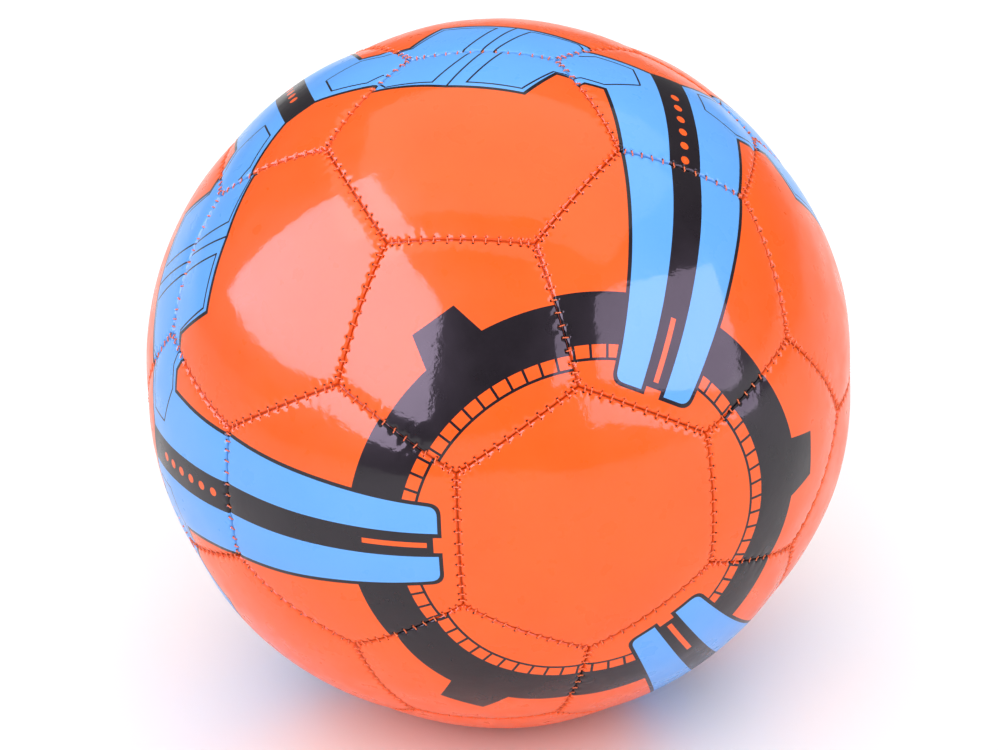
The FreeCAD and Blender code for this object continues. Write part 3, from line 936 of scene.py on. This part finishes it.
class Nodes:
    """A small helper that adds linked shader nodes to a new material."""

    def __init__(self, name, roughness):
        self.material = bpy.data.materials.new(name)
        self.material.use_nodes = True
        self.tree = self.material.node_tree
        self.shader = self.tree.nodes["Principled BSDF"]
        self.shader.inputs["Roughness"].default_value = roughness
        self.place = self.add("ShaderNodeTexCoord").outputs["Object"]

    def fill(self, socket, value):
        """Gives a socket a link, a colour of three numbers or a plain value."""
        if isinstance(value, bpy.types.NodeSocket):
            self.tree.links.new(value, socket)
        else:
            socket.default_value = (*value, 1.0) if isinstance(value, tuple) else value

    def add(self, kind, values=(), **settings):
        node = self.tree.nodes.new(kind)
        for name, value in settings.items():
            setattr(node, name, value)
        for name, value in dict(values).items():
            self.fill(node.inputs[name], value)
        return node

    def noise(self, size_mm, detail=3.0, distortion=0.0):
        """Soft noise with grains of about a size."""
        scale = 1 / (size_mm * MM)
        values = {"Vector": self.place, "Scale": scale, "Detail": detail, "Distortion": distortion}
        return self.add("ShaderNodeTexNoise", values).outputs["Fac"]

    def spread(self, value, low, high):
        """A value of 0.3 to 0.7, as noise gives, spread over low to high."""
        values = {"Value": value, "From Min": 0.3, "From Max": 0.7, "To Min": low, "To Max": high}
        return self.add("ShaderNodeMapRange", values).outputs["Result"]

    def mix(self, factor, first, second, blend="MIX"):
        """Two colours mixed by a factor. The mixer's sockets share names, so they go by number."""
        node = self.add("ShaderNodeMix", data_type="RGBA", blend_type=blend)
        for number, value in ((0, factor), (6, first), (7, second)):
            self.fill(node.inputs[number], value)
        return node.outputs[2]

    def set(self, **values):
        """Sets the shader's inputs, named with _ for each space."""
        for name, value in values.items():
            self.fill(self.shader.inputs[name.replace("_", " ")], value)

    def bump(self, height, depth_mm, before=None):
        """Bumps of a depth, on top of those before."""
        values = {"Height": height, "Strength": 1.0, "Distance": depth_mm * MM}
        if before is not None:
            values["Normal"] = before
        return self.add("ShaderNodeBump", values).outputs["Normal"]


def printed_skin(name, colour, shade, gloss=0.3):
    """Glossy coated PVC: faint mottle, painted groove shade, fine ripples, grain and a clear top coat.
    """
    nodes = Nodes(name, gloss)
    mottle = nodes.spread(nodes.noise(26, detail=4), 0.0, 1.0)
    speck = nodes.spread(nodes.noise(1.2, detail=2), 0.0, 0.35)
    base = nodes.mix(mottle, colour, shade)
    base = nodes.mix(speck, base, shade)
    # Painted shade: the print is darkened towards the seams by the painted groove shade attribute.
    groove = nodes.add("ShaderNodeAttribute", attribute_name="painted_groove_shade").outputs["Fac"]
    base = nodes.mix(groove, base, tuple(PAINTED_GROOVE_SHADE * value for value in colour))
    ripples = nodes.bump(nodes.noise(4.5, detail=3, distortion=0.4), depth_mm=0.06)
    creases = nodes.bump(nodes.noise(1.6, detail=2, distortion=1.5), depth_mm=0.01, before=ripples)
    grain = nodes.bump(nodes.noise(0.5, detail=2), depth_mm=0.0025, before=creases)
    nodes.set(
        Base_Color=base,
        Normal=grain,
        Specular_IOR_Level=0.12,
        Roughness=nodes.spread(nodes.noise(9, detail=4), gloss * 0.8, gloss * 1.35),
        Coat_Weight=0.25,
        Coat_IOR=1.9,
        Coat_Roughness=nodes.spread(nodes.noise(4, detail=3), 0.035, 0.07),
        Coat_Normal=grain,
    )
    return nodes.material


def thread_material():
    nodes = Nodes("waxed_thread", 0.45)
    values = {"Vector": nodes.place, "Scale": 1400.0, "Distortion": 1.0, "Detail": 1.0}
    twist = nodes.add("ShaderNodeTexWave", values, bands_direction="DIAGONAL").outputs["Fac"]
    mottle = nodes.spread(nodes.noise(3, detail=2), 0, 1)
    base = nodes.mix(mottle, (0.85, 0.13, 0.03), (0.95, 0.22, 0.07))
    nodes.set(Base_Color=base, Normal=nodes.bump(twist, depth_mm=0.05))
    return nodes.material


def foam_material():
    nodes = Nodes("soft_foam", 0.9)
    values = {"Vector": nodes.place, "Scale": 2200.0}
    cells = nodes.add("ShaderNodeTexVoronoi", values).outputs["Distance"]
    base = nodes.mix(cells, (0.42, 0.4, 0.36), (0.78, 0.76, 0.7))
    nodes.set(Base_Color=base, Normal=nodes.bump(cells, depth_mm=0.12))
    return nodes.material


def lining_material():
    nodes = Nodes("woven_lining", 0.85)
    values = {"Vector": nodes.place, "Scale": 420.0, "Distortion": 0.4}
    waves = [nodes.add("ShaderNodeTexWave", values, bands_direction=axis) for axis in "XYZ"]
    first, second, third = (wave.outputs["Fac"] for wave in waves)
    weave = nodes.mix(1.0, nodes.mix(1.0, first, second, "DIFFERENCE"), third, "DIFFERENCE")
    base = nodes.mix(weave, (0.5, 0.48, 0.43), (0.84, 0.82, 0.77))
    nodes.set(Base_Color=base, Normal=nodes.bump(weave, depth_mm=0.1))
    return nodes.material


def rubber_material(name, colour, shade, roughness, grain_mm):
    nodes = Nodes(name, roughness)
    mottle = nodes.spread(nodes.noise(7, detail=4), 0, 1)
    grain = nodes.noise(grain_mm, detail=3)
    nodes.set(
        Base_Color=nodes.mix(mottle, colour, shade),
        Normal=nodes.bump(grain, depth_mm=grain_mm * 0.03),
        Roughness=nodes.spread(nodes.noise(2, detail=3), roughness * 0.85, roughness * 1.15),
    )
    return nodes.material


# Each kind of rubber: its CAD node, colour, second colour, roughness and the size of its grain in mm.
RUBBERS = {
    "butyl_bladder": ("bladder", (0.012, 0.012, 0.013), (0.03, 0.03, 0.031), 0.55, 1.5),
    "patch_rubber": ("valve_patch", (0.03, 0.03, 0.03), (0.05, 0.05, 0.05), 0.6, 0.8),
    "valve_rubber": ("valve_housing", (0.025, 0.025, 0.027), (0.045, 0.045, 0.047), 0.5, 0.6),
    "plug_rubber": ("valve_plug", (0.05, 0.05, 0.053), (0.08, 0.08, 0.083), 0.45, 0.4),
}


def dress_cad_nodes():
    """Gives each CAD node that stays its own finish, through its object's material slots."""
    foam, lining = foam_material(), lining_material()
    finishes = {
        "hexagon_foam_layers": foam,
        "pentagon_foam_layers": foam,
        "hexagon_lining_layers": lining,
        "pentagon_lining_layers": lining,
    }
    for name, (node, *look) in RUBBERS.items():
        finishes[node] = rubber_material(name, *look)
    for node, material in finishes.items():
        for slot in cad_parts[node].material_slots:
            slot.link = "OBJECT"
            slot.material = material


# ---------- floor, light and camera

# In degrees and metres, but the lens and the sensor are in mm.
CAMERA_AZIMUTH = -13.4
CAMERA_ELEVATION = 27.1
CAMERA_ROLL = -2.9
CAMERA_DISTANCE = 1.562
CAMERA_LENS = 181.2
CAMERA_SENSOR = 36
CAMERA_SHIFT = (0.0012, -0.0016)
CAMERA_RANGE = 50

# The two upright softboxes that show in the gloss, in metres.
LAVENDER = (1.0, 0.8, 1.12)
UPRIGHT_SOFTBOXES = {
    "left_softbox": {"place": (-1.2, -0.33, 1.18), "facing": (1, 0, 0), "size": (2.22, 1.84),
                     "radiance": 8.0, "roll": 0.0},
    "right_softbox": {"place": (1.03, -0.95, 0.62), "facing": (-1, 1, 0), "size": (1.61, 1.05),
                      "radiance": 4.6, "roll": -22},
}

# Light from in front and above, towards how far right, up and back of the camera's axes.
FRONT_DIRECTION, FRONT_DISTANCE, FRONT_RADIANCE = (-0.05, 0.3, 1), 3.0, 2.6
TOP_DIRECTION, TOP_DISTANCE, TOP_RADIANCE = (0, 1, 0.25), 2.8, 1.2
TOP_SIZE = (4.4, 3.2)
ROOM_AZIMUTHS = (45, 135, 225, 315)
ROOM_OUT, ROOM_UP, ROOM_DISTANCE, ROOM_RADIANCE = 0.82, 0.57, 3.0, 0.88
FILL_SIZE = (2.5, 2.5)
WORLD_RADIANCE = 0.22
FLOOR_HALF_SIZE = 30.0


def camera_axes():
    """The camera's right, up and back directions."""
    azimuth, elevation = math.radians(CAMERA_AZIMUTH), math.radians(CAMERA_ELEVATION)
    back = Vector((math.sin(azimuth) * math.cos(elevation),
                   -math.cos(azimuth) * math.cos(elevation), math.sin(elevation)))
    level = Vector((math.cos(azimuth), math.sin(azimuth), 0))
    right = Matrix.Rotation(math.radians(CAMERA_ROLL), 3, back) @ level
    return right, back.cross(right), back


def make_camera():
    right, up, back = camera_axes()
    data = bpy.data.cameras.new("camera")
    data.lens = CAMERA_LENS
    data.sensor_width = CAMERA_SENSOR
    data.shift_x, data.shift_y = CAMERA_SHIFT
    data.clip_end = CAMERA_RANGE
    camera = bpy.data.objects.new("camera", data)
    bpy.context.scene.collection.objects.link(camera)
    turn = Matrix((right, up, back)).transposed().to_4x4()
    camera.matrix_world = Matrix.Translation(back * CAMERA_DISTANCE) @ turn
    bpy.context.scene.camera = camera


def make_floor():
    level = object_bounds()[0].z
    corners = [(x * FLOOR_HALF_SIZE, y * FLOOR_HALF_SIZE, level)
               for x, y in ((-1, -1), (1, -1), (1, 1), (-1, 1))]
    mesh = bpy.data.meshes.new("floor")
    mesh.from_pydata(corners, [], [(0, 1, 2, 3)])
    nodes = Nodes("floor_paper", 0.85)
    mottle = nodes.spread(nodes.noise(400), 0, 1)
    nodes.set(Base_Color=nodes.mix(mottle, (0.93, 0.93, 0.93), (0.95, 0.95, 0.95)))
    mesh.materials.append(nodes.material)
    floor = bpy.data.objects.new("floor", mesh)
    bpy.context.scene.collection.objects.link(floor)


def add_softbox(name, place, facing, size, radiance, tint=(1, 1, 1), seen="all", roll=0.0):
    """An area light at a place, in metres, that shines along a direction and stands level, or leans
    by a roll in degrees. It lights all, or only gloss, or only matt surfaces."""
    width, height = size
    data = bpy.data.lights.new(name, "AREA")
    data.shape = "RECTANGLE"
    data.size, data.size_y = width, height
    data.energy = radiance * math.pi * width * height
    data.color = tint
    light = bpy.data.objects.new(name, data)
    turn = (-facing).to_track_quat("Z", "Y").to_matrix().to_4x4()
    turn @= Matrix.Rotation(math.radians(roll), 4, "Z")
    light.matrix_world = Matrix.Translation(place) @ turn
    light.visible_diffuse = seen != "gloss"
    light.visible_glossy = seen != "matt"
    bpy.context.scene.collection.objects.link(light)


def make_lights():
    """Two upright softboxes that show in the gloss, and soft light from in front, above and around."""
    for name, box in UPRIGHT_SOFTBOXES.items():
        add_softbox(name, Vector(box["place"]), Vector(box["facing"]), box["size"], box["radiance"],
                    LAVENDER, "gloss", box["roll"])
    right, up, back = camera_axes()
    x, y, z = FRONT_DIRECTION
    front = (back * z + up * y + right * x).normalized()
    add_softbox("front_fill", front * FRONT_DISTANCE, -front, FILL_SIZE, FRONT_RADIANCE, seen="matt")
    x, y, z = TOP_DIRECTION
    above = (up * y + back * z + right * x).normalized()
    add_softbox("top_softbox", above * TOP_DISTANCE, -above, TOP_SIZE, TOP_RADIANCE)
    for number, azimuth in enumerate(map(math.radians, ROOM_AZIMUTHS), 1):
        around = Vector((ROOM_OUT * math.cos(azimuth), ROOM_OUT * math.sin(azimuth), ROOM_UP))
        add_softbox(f"room_fill_{number}", around * ROOM_DISTANCE, -around, FILL_SIZE,
                    ROOM_RADIANCE, seen="matt")
    world = bpy.data.worlds.new("studio")
    bpy.context.scene.world = world
    world.use_nodes = True
    background = world.node_tree.nodes["Background"]
    background.inputs["Color"].default_value = (1, 1, 1, 1)
    background.inputs["Strength"].default_value = WORLD_RADIANCE


def main():
    inks_and_hole_shade = [
        printed_skin("printed_orange", (0.94, 0.108, 0.0095), (0.97, 0.122, 0.013)),
        printed_skin("printed_blue", (0.115, 0.385, 0.92), (0.135, 0.41, 0.95)),
        printed_skin("printed_black", (0.008, 0.005, 0.009), (0.014, 0.01, 0.015)),
        # The stitch holes are painted near black, as painted shade where each hole dips in.
        rubber_material("stitch_hole_painted_shade", (0.03, 0.01, 0.01), (0.06, 0.02, 0.012), 0.8, 0.3),
    ]
    thread = thread_material()
    for panel in make_panels():
        make_panel(panel, inks_and_hole_shade)
    for kind in ("hexagon", "pentagon"):
        make_stitches(kind, f"{kind}_seam_threads", thread)
    dress_cad_nodes()
    make_camera()
    make_floor()
    make_lights()
    bpy.context.scene.view_settings.view_transform = "Standard"


main()
